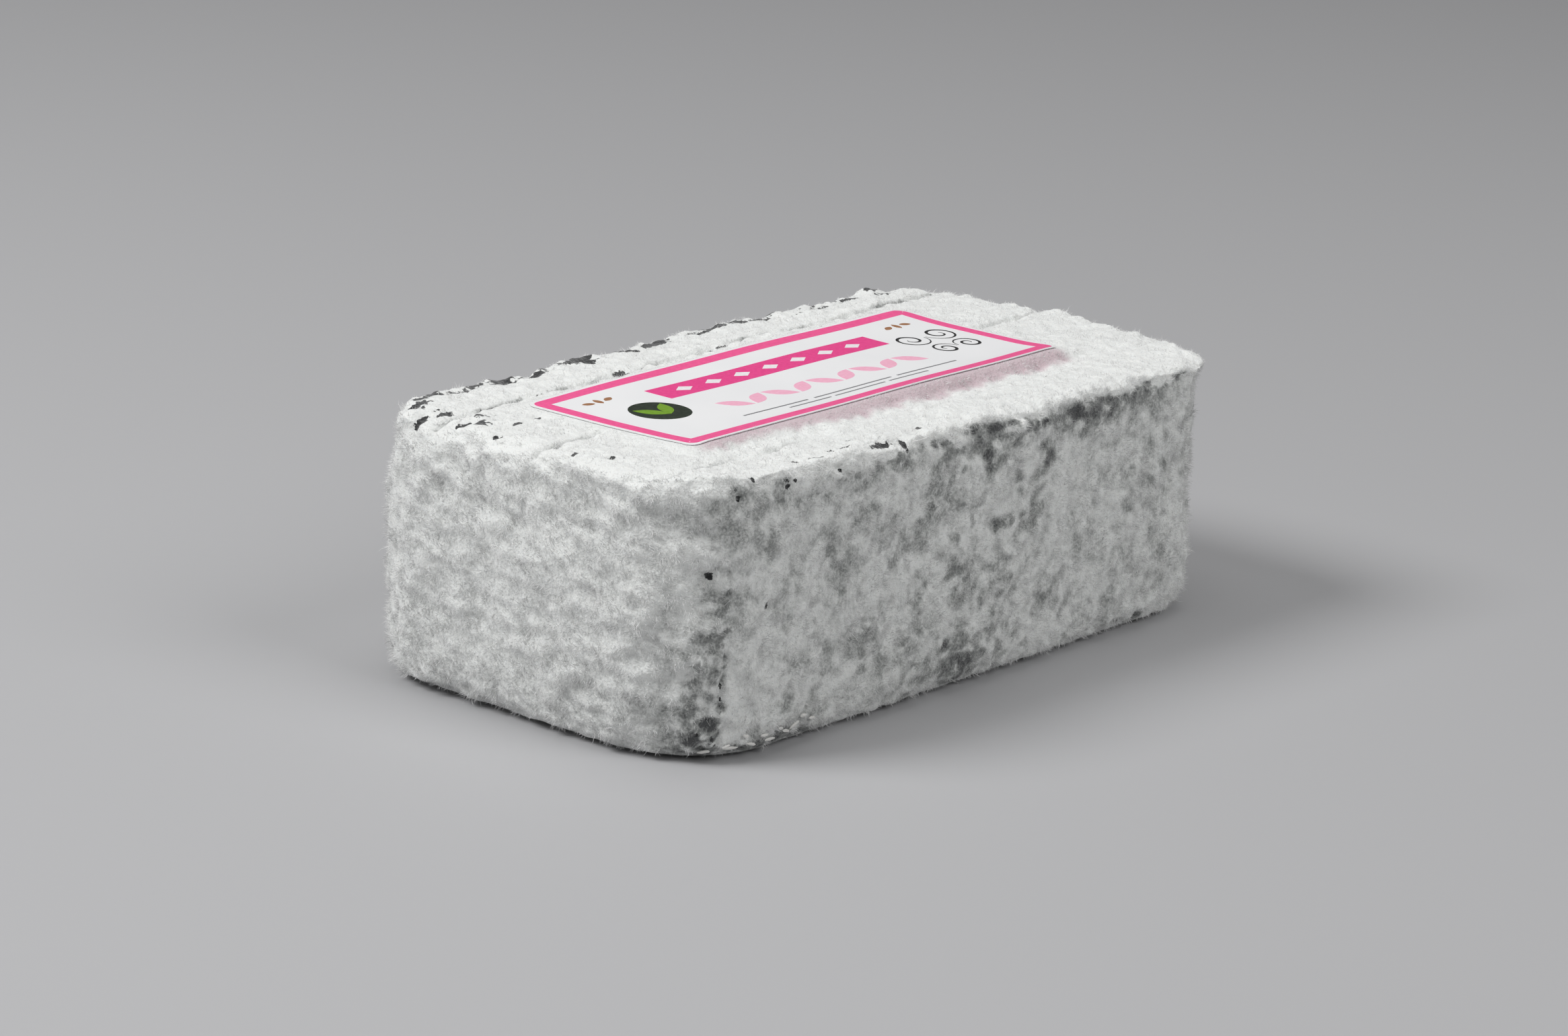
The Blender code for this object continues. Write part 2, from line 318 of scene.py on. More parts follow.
def work_on(piece):
    """Makes a piece the only one selected."""
    deselect_all()
    bpy.context.view_layer.objects.active = piece
    piece.select_set(True)


def apply_modifiers(piece):
    work_on(piece)
    for modifier in list(piece.modifiers):
        bpy.ops.object.modifier_apply(modifier=modifier.name)


def surface_of(mesh):
    """A mesh's faces, as a tree that rays can hit."""
    return BVHTree.FromPolygons([v.co for v in mesh.vertices], [p.vertices for p in mesh.polygons])


class Finish:
    """A material and the few node forms that its pattern is made of."""

    def __init__(self, name, roughness=0.8):
        self.material = bpy.data.materials.new(name)
        self.material.use_nodes = True
        self.tree = self.material.node_tree
        self.shader = self.tree.nodes["Principled BSDF"]
        self.set("Roughness", roughness)
        self.place = self.add("ShaderNodeTexCoord").outputs["Object"]

    def set(self, name, value):
        self.shader.inputs[name].default_value = value

    def add(self, kind, **settings):
        node = self.tree.nodes.new(kind)
        for name, value in settings.items():
            setattr(node, name, value)
        return node

    def join(self, source, target):
        if isinstance(source, (int, float, tuple)):
            target.default_value = source
        else:
            self.tree.links.new(source, target)

    def noise(self, cell, detail=2.0, distortion=0.0, rough=0.5, stretch=(1.0, 1.0, 1.0)):
        """A soft noise whose lumps are as large as the cell."""
        scale = self.add("ShaderNodeMapping")
        self.join(self.place, scale.inputs["Vector"])
        scale.inputs["Scale"].default_value = [s / cell for s in stretch]
        node = self.add("ShaderNodeTexNoise")
        self.join(scale.outputs["Vector"], node.inputs["Vector"])
        node.inputs["Scale"].default_value = 1.0
        node.inputs["Detail"].default_value = detail
        node.inputs["Distortion"].default_value = distortion
        node.inputs["Roughness"].default_value = rough
        return node.outputs["Fac"]

    def attribute(self, name):
        return self.add("ShaderNodeAttribute", attribute_name=name).outputs["Fac"]

    def sum(self, a, b, operation="ADD"):
        node = self.add("ShaderNodeMath", operation=operation)
        self.join(a, node.inputs[0])
        self.join(b, node.inputs[1])
        return node.outputs[0]

    def product(self, a, b):
        return self.sum(a, b, "MULTIPLY")

    def ramp(self, value, low, high, start=0.0, end=1.0):
        """Spreads a stretch of a value softly from start to end."""
        node = self.add("ShaderNodeMapRange", interpolation_type="SMOOTHSTEP")
        self.join(value, node.inputs["Value"])
        node.inputs["From Min"].default_value = low
        node.inputs["From Max"].default_value = high
        node.inputs["To Min"].default_value = start
        node.inputs["To Max"].default_value = end
        return node.outputs["Result"]

    def blend(self, share, first, second):
        """Mixes two colours."""
        node = self.add("ShaderNodeMix", data_type="RGBA")
        self.join(share, node.inputs["Factor"])
        for colour, socket in ((first, node.inputs[6]), (second, node.inputs[7])):
            self.join((*colour, 1.0) if isinstance(colour, tuple) else colour, socket)
        return node.outputs[2]

    def rings(self, middle, step):
        """Even rings round an axis that runs across the cheese, a step apart, from 0 to 1."""
        period = 2.0 * math.pi / 20.0 / step
        scale = self.add("ShaderNodeMapping")
        self.join(self.place, scale.inputs["Vector"])
        scale.inputs["Scale"].default_value = (period, period, period)
        scale.inputs["Location"].default_value = (-middle[0] * period, 0.0, -middle[1] * period)
        node = self.add("ShaderNodeTexWave", wave_type="RINGS", rings_direction="Y")
        self.join(scale.outputs["Vector"], node.inputs["Vector"])
        node.inputs["Scale"].default_value = 1.0
        node.inputs["Distortion"].default_value = 3.4
        node.inputs["Detail"].default_value = 2.0
        node.inputs["Detail Scale"].default_value = 0.8
        return node.outputs["Fac"]

    def bump(self, height, depth, strength=1.0):
        """Adds relief of a real depth under any relief that is there already."""
        node = self.add("ShaderNodeBump")
        node.inputs["Strength"].default_value = strength
        node.inputs["Distance"].default_value = depth
        self.join(height, node.inputs["Height"])
        before = self.shader.inputs["Normal"].links
        if before:
            self.join(before[0].from_socket, node.inputs["Normal"])
        self.join(node.outputs["Normal"], self.shader.inputs["Normal"])

    def colour(self, socket):
        self.join(socket, self.shader.inputs["Base Color"])


def rind_finish():
    """White bloom over grey ash and painted shade, with black ash where no bloom grows, and painted pink
    shadow by the label's near edge.
    """
    finish = Finish("bloomy rind", roughness=0.95)
    fine = finish.noise(0.36 * MM, detail=3.0)
    mid = finish.noise(1.0 * MM, detail=2.0, distortion=0.2)
    ash = finish.attribute("ash")
    grain = finish.product(finish.ramp(fine, 0.3, 0.7, 0.26, -0.26), ash)
    cloudy = finish.sum(ash, finish.ramp(mid, 0.3, 0.7, 0.055, -0.055))
    cloudy = finish.sum(cloudy, finish.sum(grain, finish.ramp(fine, 0.3, 0.7, 0.04, -0.04)))
    arcs = finish.product(finish.rings(SWIRL_MIDDLE, SWIRL_STEP), finish.attribute("swirl"))
    cloudy = finish.sum(cloudy, finish.product(arcs, 0.24))
    colour = finish.blend(finish.ramp(cloudy, -0.05, 1.0), BLOOM, ASH_AND_SHADE_GREY)
    colour = finish.blend(finish.ramp(cloudy, 0.85, 1.7), colour, DARK_ASH_AND_SHADE)
    # Painted pink shadow on the rind under the label's raised near edge.
    colour = finish.blend(finish.attribute("pink_label_shadow"), colour, PINK_LABEL_SHADOW)
    marks = finish.noise(0.60 * MM, detail=2.0, distortion=0.3)
    black = finish.sum(finish.attribute("char"), finish.ramp(marks, 0.25, 0.75, -0.17, 0.17))
    finish.colour(finish.blend(finish.ramp(black, 0.46, 0.58), colour, CHAR))
    finish.bump(finish.noise(0.26 * MM, detail=2.0), 0.12 * MM, 0.8)
    finish.bump(arcs, 0.16 * MM, 0.9)
    finish.bump(finish.noise(0.62 * MM, detail=2.0), 0.32 * MM, 0.8)
    finish.set("Subsurface Weight", 0.25)
    finish.set("Subsurface Radius", (1.0, 0.95, 0.9))
    finish.set("Subsurface Scale", 0.6 * MM)
    finish.set("Specular IOR Level", 0.12)
    finish.set("Sheen Weight", 0.45)
    finish.set("Sheen Roughness", 0.6)
    return finish.material


def even_noise(places, cell, shift, stretch=(1.0, 1.0, 1.0)):
    """Soft noise from about -1 to 1 at each place, with lumps about as large as the cell."""
    spots = places * (np.array(stretch) / cell) + shift
    return np.array([noise.noise(spot) for spot in spots.tolist()])


def lumps(places, cell, shift, stretch):
    """Soft round lumps with narrow folds between them, from 0 to 1."""
    hills = np.clip(0.5 + 0.85 * even_noise(places, cell, shift, stretch), 0.0, 1.0)
    folds = smooth(0.0, 0.36, abs(even_noise(places, 1.25 * cell, shift + 7.3, stretch)))
    return hills * (0.55 + 0.45 * folds)


def read(values, name, width):
    """An array of one property of many mesh parts, with one row each."""
    flat = np.zeros(len(values) * width, dtype=np.int32 if name == "vertices" else np.float64)
    values.foreach_get(name, flat)
    return flat.reshape(-1, width) if width > 1 else flat


class Ground:
    """Where each point of the bare rind is, and which part of the brick it belongs to."""

    def __init__(self, mesh):
        self.places = read(mesh.vertices, "co", 3)
        self.normals = read(mesh.vertex_normals, "vector", 3)
        x, y, z = self.places.T
        self.x, self.y, self.z = x, y, z
        self.drop = TOP - z
        self.top = smooth(0.55, 0.9, self.normals[:, 2])
        self.side = 1.0 - smooth(0.4, 0.85, abs(self.normals[:, 2]))
        self.flank = 1.0 - smooth(0.4, 0.85, self.normals[:, 2])
        self.long = smooth(0.3, 0.9, abs(self.normals[:, 1]))
        self.end = 1.0 - self.long
        self.near = smooth(0.3, 0.9, -self.normals[:, 1])
        self.turn = np.degrees(np.arctan2(CORNER_MIDDLE[1] - y, CORNER_MIDDLE[0] - x))
        tilted_y = y * math.cos(END_TILT) + z * math.sin(END_TILT)
        tilted_z = z * math.cos(END_TILT) - y * math.sin(END_TILT)
        self.tilted = np.column_stack((x, tilted_y, tilted_z))
        inset = np.minimum(HALF_LENGTH - abs(x), HALF_WIDTH - abs(y))
        self.rim = bell(np.maximum(0.0, self.drop - 0.6 * MM), 2.6 * MM)
        self.rim *= bell(np.maximum(0.0, inset - 1.0 * MM), 3.0 * MM)
        self.patch = self.cloud(8.0 * MM, 0.4)
        self.speckle = self.noise(1.1 * MM, 1.4, LONG_STRETCH) + 0.7 * self.noise(0.65 * MM, 6.9)

    def mix(self, cell, shift):
        """Lumps that lie across the ends and stand up the long sides."""
        across = lumps(self.tilted, cell, shift, END_STRETCH)
        upright = lumps(self.places, cell, shift + 2.1, LONG_STRETCH)
        return across * (1.0 - self.long) + upright * self.long

    def noise(self, cell, shift, stretch=(1.0, 1.0, 1.0)):
        return even_noise(self.places, cell, shift, stretch)

    def cloud(self, cell, shift):
        """Noise of four sizes in one, as blotches with ragged edges."""
        total = np.zeros(len(self.x))
        for size, share in ((1.0, 0.42), (0.46, 0.50), (0.22, 0.58), (0.115, 0.48)):
            total += share * self.noise(cell * size, shift + 9.0 * size, LONG_STRETCH)
        return total

    def torn(self, level, patchy, speckly):
        """A level broken up by the ground's patches and speckle, never below 0."""
        return np.maximum(0.0, level + patchy * self.patch + speckly * self.speckle)


def spots(along, across, pits):
    """Soft spots of height 1 with the pits' places and sizes."""
    total = np.zeros(len(along))
    for place_along, place_across, length, width in pits:
        reach = ((along / MM - place_along) / length) ** 2
        reach += ((across / MM - place_across) / width) ** 2
        total = np.maximum(total, np.exp(-0.9 * reach))
    return total


def hollows(ground):
    """How deep the soft hollows down the left end are at each point."""
    total = np.zeros(len(ground.x))
    y = ground.y + 0.8 * MM * ground.noise(3.0 * MM, 5.1)
    z = ground.z + 0.8 * MM * ground.noise(3.0 * MM, 0.6)
    for start_y, start_z, end_y, end_z, width, depth in END_HOLLOWS:
        way = np.array((end_y - start_y, end_z - start_z)) * MM
        share = ((y - start_y * MM) * way[0] + (z - start_z * MM) * way[1]) / way.dot(way)
        share = np.clip(share, 0.0, 1.0)
        away = np.hypot(y - start_y * MM - share * way[0], z - start_z * MM - share * way[1])
        total = np.maximum(total, depth * MM * bell(away, width * MM))
    return total * smooth(0.3, 0.7, -ground.normals[:, 0])


def crease_lines(ground):
    """How near each point is to one of the creases on the top, from 0 to 1."""
    line = ground.y - CREASE_SLOPE * ground.x + 0.35 * MM * ground.noise(5.0 * MM, 2.7)
    lines = [bell(line - crease, CREASE_WIDTH) for crease in CREASES]
    lines[0] *= smooth(-22.0 * MM, -34.0 * MM, ground.x)
    return np.maximum.reduce(lines) * smooth(0.3, 0.7, ground.normals[:, 2])


def seam_line(ground):
    """How near each point is to the crusty seam that runs up the near corner, from 0 to 1."""
    bent = ground.turn - SEAM_TURN + 3.4 * ground.noise(6.5 * MM, 9.9)
    bent += 1.8 * ground.noise(1.9 * MM, 4.7)
    broken = 0.25 + 0.75 * smooth(-0.15, 0.25, ground.noise(2.3 * MM, 6.3))
    reach = smooth(28.0 * MM, 23.0 * MM, ground.z) * smooth(0.5 * MM, 2.0 * MM, ground.z)
    return bell(bent, 1.5) * broken * reach


def swirl(ground):
    """How much of the fine arcs on the near long side shows at each point, from 0 to 1."""
    from_x = ground.x - SWIRL_MIDDLE[0]
    from_z = ground.z - SWIRL_MIDDLE[1]
    away = np.hypot(from_x, from_z)
    open_side = smooth(-0.2, -0.95, (from_x + from_z) / np.maximum(away, MM))
    return bell(away - SWIRL_REACH, SWIRL_SPREAD) * open_side * ground.near * ground.side


def corner_shade(ground):
    """How much dark ash and painted shade the near corner has up to its seam: low down only, and at
    every height.
    """
    side = smooth(*CORNER_SHADE, ground.turn)
    side = side * (1.0 - smooth(SEAM_TURN - 1.0, SEAM_TURN + 2.5, ground.turn))
    return side * smooth(27.0 * MM, 9.0 * MM, ground.z), side


def rim_band(ground):
    """How far below the rim's ragged bloom each point is, the bloom's edge, and the band under it."""
    ragged = ground.noise(3.4 * MM, 3.3) + 0.6 * ground.noise(1.4 * MM, 8.2)
    below = ground.drop - BAND_START * (1.0 + ragged)
    edge = smooth(-0.3 * MM, 0.6 * MM + 4.0 * MM * ground.end, below)
    return below, edge, edge * bell(np.maximum(0.0, below), BAND_REACH)


def side_ash(ground, fold_shade, marks, band):
    """How grey each point of the sides is, with ash and with painted shade."""
    below, edge, under_rim = band
    shade, corner = corner_shade(ground)
    blotchy = 0.76 + 0.40 * bell(ground.x, 20.0 * MM)
    # Painted shade in the folds, over the ends' and long sides' own ash.
    ash = ground.end * (0.05 + 0.22 * fold_shade + 0.15 * ground.patch)
    ash += ground.long * (0.20 + 0.18 * fold_shade + blotchy * ground.patch)
    # Painted shade: the ends darker towards the bottom, and darker in their soft hollows.
    ash += 0.12 * ground.end * smooth(16.0 * MM, 4.0 * MM, ground.z)
    ash += 0.11 * marks["hollows"] / MM
    # The near corner's dark side: dark ash with painted shade, deepest towards its foot.
    ash += 0.46 * shade * ground.torn(0.8, 1.0, 1.1)
    foot = corner * smooth(11.0 * MM, 3.0 * MM, ground.z)
    ash += 0.42 * foot * ground.torn(0.9, 1.4, 1.5)
    past_seam = smooth(SEAM_TURN, SEAM_TURN + 4.0, ground.turn) * smooth(120.0, 75.0, ground.turn)
    ash += past_seam * (0.34 * marks["strokes"] - 0.03)
    low_right = smooth(-4.0 * MM, 16.0 * MM, ground.x) * smooth(20.0 * MM, 9.0 * MM, ground.z)
    ash -= 0.11 * ground.near * low_right
    ash += 0.35 * marks["seam"] * ground.torn(0.8, 0.0, 1.8)
    right = 0.55 * smooth(-52.0 * MM, -41.0 * MM, ground.x) + 0.45 * smooth(0.0, 22.0 * MM, ground.x)
    thick = smooth(-0.45, 0.35, ground.noise(5.0 * MM, 6.1, LONG_STRETCH))
    # The band under the top rim: ash, with painted shade under the rim's overhang.
    ash += under_rim * (0.05 + 0.56 * ground.near * right) * thick * ground.torn(1.0, 0.0, 1.0)
    # Ash patches, and painted shadow along the foot by the near corner.
    ash += marks["patches"] * ground.torn(0.80, 1.1, 0.9) * smooth(-0.9 * MM, 0.1 * MM, below)
    ash *= 1.0 - 0.85 * (1.0 - edge) * ground.side * (1.0 - marks["patches"])
    return ash * ground.flank


def top_ash(ground, fold_shade, creases):
    """How grey the top is: painted shade in its folds, and grey dashes along its creases."""
    dashes = smooth(-0.15, 0.35, ground.noise(2.4 * MM, 4.4, (0.45, 1.0, 1.0)))
    row = 0.5 + 0.5 * smooth(*FAR_CREASE_ROW, ground.y)
    return ground.top * (0.16 * fold_shade + creases * dashes * row)


def black_spots(ground, marks, under_rim):
    """How black each point is, where no bloom grows: most of all along the back rim."""
    back = smooth(HALF_WIDTH - 7.0 * MM, HALF_WIDTH - 3.0 * MM, ground.y)
    back_left = back * smooth(12.0 * MM, -8.0 * MM, ground.x)
    left = smooth(HALF_LENGTH - 17.0 * MM, HALF_LENGTH - 6.0 * MM, -ground.x)
    upper = bell(np.maximum(0.0, ground.drop - 1.2 * MM), 1.3 * MM)
    far_left = left * smooth(-4.0 * MM, 22.0 * MM, ground.y) * upper
    creases = marks["creases"] * ground.top
    far_crease = creases * smooth(*FAR_CREASE_ROW, ground.y) * smooth(25.0 * MM, 5.0 * MM, ground.x)
    blot = ground.noise(2.2 * MM, 1.9, (0.55, 1.5, 1.0))
    shade = corner_shade(ground)[0]
    spots_by_place = (
        upper * back * (0.36 + 0.18 * back_left + 1.30 * blot),
        far_left * (0.11 + 1.10 * ground.noise(1.5 * MM, 5.6, (0.6, 1.3, 1.0))),
        far_crease * (0.36 + 1.10 * blot),
        creases * (0.05 + 0.60 * ground.noise(1.6 * MM, 2.2)),
        marks["seam"] * (0.12 + 1.30 * ground.noise(0.9 * MM, 0.8)),
        shade * (0.02 + 0.95 * ground.noise(1.0 * MM, 3.9)),
        under_rim * ground.near * (0.03 + 0.90 * ground.noise(1.5 * MM, 5.5)),
        marks["pits"],
    )
    return np.maximum.reduce(spots_by_place)


def rind_values(ground, fold_shade, marks):
    """How grey with ash and painted shade, how black and how much painted pink shadow each point has,
    and how much of the arcs it shows.
    """
    band = rim_band(ground)
    return {
        "ash": side_ash(ground, fold_shade, marks, band) + top_ash(ground, fold_shade, marks["creases"]),
        "char": black_spots(ground, marks, band[2]),
        "pink_label_shadow": ground.top * pink_label_shadow(ground),
        "swirl": swirl(ground),
    }


def pink_label_shadow(ground):
    """How much painted pink shadow lies on the rind along the label's raised near edge."""
    along, across = to_label(ground.x, ground.y)
    across = across + 0.9 * MM * ground.noise(1.6 * MM, 3.8)
    reach = (1.4 + 1.8 * smooth(-36.0 * MM, -4.0 * MM, along)) * MM
    band = smooth(-reach - 0.5 * MM, -0.62 * reach, across + LABEL_WIDTH / 2.0)
    band *= 1.0 - smooth(-LABEL_WIDTH / 2.0 + 1.5 * MM, -LABEL_WIDTH / 2.0 + 4.0 * MM, across)
    ends = 1.0 - smooth(LABEL_LENGTH / 2.0 - 2.5 * MM, LABEL_LENGTH / 2.0 + 0.8 * MM, abs(along))
    return 0.95 * band * ends


def press_under_label(places, ground):
    """Brings the rind close under the paper, and keeps it clear."""
    along, across = to_label(places[:, 0], places[:, 1])
    out = np.maximum(abs(along) - LABEL_LENGTH / 2.0, abs(across) - LABEL_WIDTH / 2.0)
    under = paper_top(along, across) - PAPER - PAPER_CLEARANCE
    on_top = ground.normals[:, 2] > 0.5
    rise = 0.97 * smooth(2.4 * MM, 0.5 * MM, out) * on_top
    places[:, 2] += rise * np.maximum(0.0, under - places[:, 2])
    covered = on_top & (out < 0.5 * MM)
    places[covered, 2] = np.minimum(places[covered, 2], under[covered])


def refined_cheese():
    """A finer copy of the cheese solid."""
    rind = bpy.data.objects.new("rind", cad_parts["cheese"].data.copy())
    bpy.context.scene.collection.objects.link(rind)
    work_on(rind)
    bpy.ops.object.mode_set(mode="EDIT")
    bpy.ops.mesh.select_all(action="SELECT")
    bpy.ops.mesh.remove_doubles(threshold=0.01 * MM)
    bpy.ops.mesh.tris_convert_to_quads(face_threshold=math.radians(50), shape_threshold=math.radians(60))
    bpy.ops.object.mode_set(mode="OBJECT")
    bpy.ops.mesh.customdata_custom_splitnormals_clear()
    refine = rind.modifiers.new("refine", "SUBSURF")
    refine.levels = REFINE_LEVELS
    refine.render_levels = REFINE_LEVELS
    apply_modifiers(rind)
    return rind


def rind_marks(ground):
    """How much of each kind of mark every point has."""
    near_side = smooth(0.3, 0.6, -ground.normals[:, 1])
    strokes = ground.noise(STROKE[0], 1.2, STROKE_STRETCH)
    strokes *= smooth(SEAM_TURN - 2.0, SEAM_TURN + 3.0, ground.turn) * smooth(125.0, 85.0, ground.turn)
    pits = np.maximum(
        spots(ground.x, ground.y, TOP_PITS) * smooth(0.1, 0.4, ground.normals[:, 2]),
        spots(ground.x, ground.z, SIDE_PITS) * near_side,
    )
    pits *= np.clip(1.05 + 0.6 * ground.noise(0.8 * MM, 2.9), 0.0, 1.0)
    torn_x = ground.x + 1.5 * MM * ground.noise(2.3 * MM, 3.1)
    torn_z = ground.z + 1.1 * MM * ground.noise(2.0 * MM, 8.1)
    return {
        "strokes": strokes,
        "pits": pits,
        "patches": spots(torn_x, torn_z, ASH_AND_FOOT_SHADOW_PATCHES) * near_side,
        "notch": spots(ground.x, ground.z, (BASE_NOTCH,)) * near_side,
        "creases": crease_lines(ground),
        "seam": seam_line(ground),
        "hollows": hollows(ground),
    }


def rind_relief(ground, marks):
    """How far the bloom stands out of the solid, and how deep in a fold each point is, which sets the
    painted shade in the folds.
    """
    tufts = ground.mix(TUFT[0], 0.3)
    grains = ground.mix(GRAIN[0], 3.7)
    top_tufts = lumps(ground.places, TOP_TUFT[0], 6.6, (0.8, 1.0, 1.0))
    top_grains = lumps(ground.places, TOP_GRAIN[0], 8.9, (0.9, 1.0, 1.0))
    along, across = to_label(ground.x, ground.y)
    covered = smooth(LABEL_LENGTH / 2.0 + 2.0 * MM, LABEL_LENGTH / 2.0, abs(along))
    covered *= smooth(LABEL_WIDTH / 2.0 + 1.0 * MM, LABEL_WIDTH / 2.0 - 2.0 * MM, abs(across))
    height = ground.side * (TUFT[1] * tufts * (1.0 - 0.40 * ground.long) + GRAIN[1] * grains)
    swell = SWELL[1] * ground.noise(SWELL[0], 2.5)
    height += ground.side * (swell + STROKE[1] * marks["strokes"] - SIDE_SINK)
    height -= SEAM_DEPTH * marks["seam"] + marks["hollows"]
    deep = 1.0 + 1.6 * smooth(46.0 * MM, 54.0 * MM, ground.x)
    rise = TOP_TUFT[1] * top_tufts + TOP_GRAIN[1] * top_grains
    rise = rise - CREASE_DEPTH * deep * marks["creases"] - TOP_SINK
    height += ground.top * rise * (1.0 - 0.7 * covered)
    height += RIM_CRAG[1] * ground.rim * ground.noise(RIM_CRAG[0], 4.9)
    height -= PIT_DEPTH * marks["pits"] + PATCH_DEPTH * marks["patches"]
    foot = bell(ground.z, 2.6 * MM)
    height += foot * (BASE_CRAG[1] * ground.noise(BASE_CRAG[0], 7.1) - NOTCH_DEPTH * marks["notch"])
    height *= smooth(-0.98, -0.70, ground.normals[:, 2])
    fold_shade = ground.side * (1.0 - 0.62 * tufts / 0.6 - 0.38 * grains / 0.6)
    fold_shade += ground.top * (1.0 - 0.6 * top_tufts / 0.6 - 0.4 * top_grains / 0.6)
    return height, fold_shade


def grow_rind():
    """The rind: a finer copy of the cheese solid, with its lumps, folds, pits, ash and painted shade."""
    rind = refined_cheese()
    mesh = rind.data
    ground = Ground(mesh)
    marks = rind_marks(ground)
    height, fold_shade = rind_relief(ground, marks)
    places = ground.places + ground.normals * height[:, None]
    press_under_label(places, ground)
    places[:, 2] = np.maximum(0.0, places[:, 2])
    mesh.vertices.foreach_set("co", places.ravel())
    for name, values in rind_values(ground, fold_shade, marks).items():
        layer = mesh.attributes.new(name, "FLOAT", "POINT")
        layer.data.foreach_set("value", np.clip(values, 0.0, 2.0).astype(np.float32))
    mesh.calc_loop_triangles()
    thin = rind.modifiers.new("thin", "DECIMATE")
    thin.ratio = min(1.0, RIND_TRIANGLES / len(mesh.loop_triangles))
    soften = rind.modifiers.new("soften", "SMOOTH")
    soften.factor = 0.35
    soften.iterations = 1
    apply_modifiers(rind)
    rind.data.materials.clear()
    rind.data.materials.append(rind_finish())
    rind.data.shade_smooth()
    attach(rind, "root")
    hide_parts("cheese")
    return rind


def down_roots(rind, count, seed, draw):
    """Places where fibres stand on the rind, the way out of it there, and how grey it is with ash and
    painted shade.
    """
    mesh = rind.data
    mesh.calc_loop_triangles()
    places = read(mesh.vertices, "co", 3)
    normals = read(mesh.vertex_normals, "vector", 3)
    char = read(mesh.attributes["char"].data, "value", 1)
    ash = read(mesh.attributes["ash"].data, "value", 1)
    corners = read(mesh.loop_triangles, "vertices", 3)
    a, b, c = (places[corners[:, i]] for i in range(3))
    area = np.linalg.norm(np.cross(b - a, c - a), axis=1)
    middle = (a + b + c) / 3.0
    up = normals[corners].mean(axis=1)[:, 2]
    along, across = to_label(middle[:, 0], middle[:, 1])
    out_of_label = np.maximum(abs(along) - LABEL_LENGTH / 2.0, abs(across) - LABEL_WIDTH / 2.0)
    under = (up < -0.8) | (middle[:, 2] < 0.15 * MM) | ((up > 0.4) & (out_of_label < 0.15 * MM))
    bare = char[corners].mean(axis=1) > 0.33
    weight = area * np.where(up > 0.75, 0.35, 1.0) * ~bare * ~under
    weight *= 1.0 - 0.75 * smooth(0.25, 0.9, ash[corners].mean(axis=1))
    weight *= 0.35 + smooth(-0.35, 0.35, even_noise(middle, 1.7 * MM, seed))
    chosen = draw.choice(len(corners), size=count, p=weight / weight.sum())
    share = draw.random((count, 2))
    flip = share.sum(axis=1) > 1.0
    share[flip] = 1.0 - share[flip]
    share = np.column_stack((1.0 - share.sum(axis=1), share))
    root = np.einsum("ij,ijk->ik", share, places[corners[chosen]])
    root_ash = np.einsum("ij,ij->i", share, ash[corners[chosen]])
    out = np.einsum("ij,ijk->ik", share, normals[corners[chosen]])
    return root, out / np.linalg.norm(out, axis=1, keepdims=True), root_ash


def down_ways(root, out, length, draw):
    """Which way each fibre leans and how far it reaches: they gather in tufts, off the floor."""
    lean = draw.normal(size=root.shape)
    lean /= np.linalg.norm(lean, axis=1, keepdims=True)
    gather = np.column_stack([even_noise(root, 1.3 * MM, shift) for shift in (1.7, 4.2, 8.8)])
    way = out + DOWN_LEAN * lean + DOWN_GATHER * gather
    way /= np.linalg.norm(way, axis=1, keepdims=True)
    thick = smooth(-0.30, 0.45, even_noise(root, 1.6 * MM, 5.3))[:, None]
    reach = length * (0.45 + 0.75 * thick) * (0.55 + 0.70 * draw.random((len(root), 1)))
    reach *= np.where(out[:, 2:] > 0.7, 0.6, 1.0)
    way[:, 2:] = np.maximum(way[:, 2:], (0.03 * MM - root[:, 2:]) / reach)
    return way, reach


def down_on(rind, name, amount, seed, curved):
    """Fine fibres standing on the rind, joined into one piece."""
    count, length, width = amount
    draw = np.random.default_rng(seed)
    root, out, root_ash = down_roots(rind, count, seed, draw)
    way, reach = down_ways(root, out, length, draw)
    across = np.cross(way, draw.normal(size=(count, 3)))
    across /= np.linalg.norm(across, axis=1, keepdims=True)
    other = np.cross(way, across)
    root = root - out * DOWN_ROOT
    ring = [across * math.cos(t) + other * math.sin(t) for t in (0.0, 2.0944, 4.1888)]
    rows = [root + side * width * 0.5 for side in ring]
    faces = [(0, 2, 1)]
    if curved:
        bend = np.cross(across, out) * reach * 0.35
        bend[:, 2:] = np.where(root[:, 2:] < 1.5 * MM, abs(bend[:, 2:]), bend[:, 2:])
        rows += [root + way * reach * 0.55 + bend * 0.45 + side * width * 0.38 for side in ring]
        rows.append(root + way * reach * 0.8 + bend * 1.25)
        for i, j in ((0, 1), (1, 2), (2, 0)):
            faces += [(i, j, j + 3), (i, j + 3, i + 3), (i + 3, j + 3, 6)]
    else:
        rows.append(root + way * reach)
        faces += [(0, 1, 3), (1, 2, 3), (2, 0, 3)]
    points = np.stack(rows, axis=1)
    steps = np.arange(count)[:, None, None] * len(rows)
    hair = bpy.data.meshes.new(name)
    triangles = (np.array(faces)[None] + steps).reshape(-1, 3)
    hair.from_pydata(points.reshape(-1, 3).tolist(), [], triangles.tolist())
    layer = hair.attributes.new("ash", "FLOAT", "POINT")
    layer.data.foreach_set("value", np.repeat(root_ash, len(rows)).astype(np.float32))
    hair.materials.append(down_finish())
    piece = bpy.data.objects.new(name, hair)
    bpy.context.scene.collection.objects.link(piece)
    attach(piece, "root")


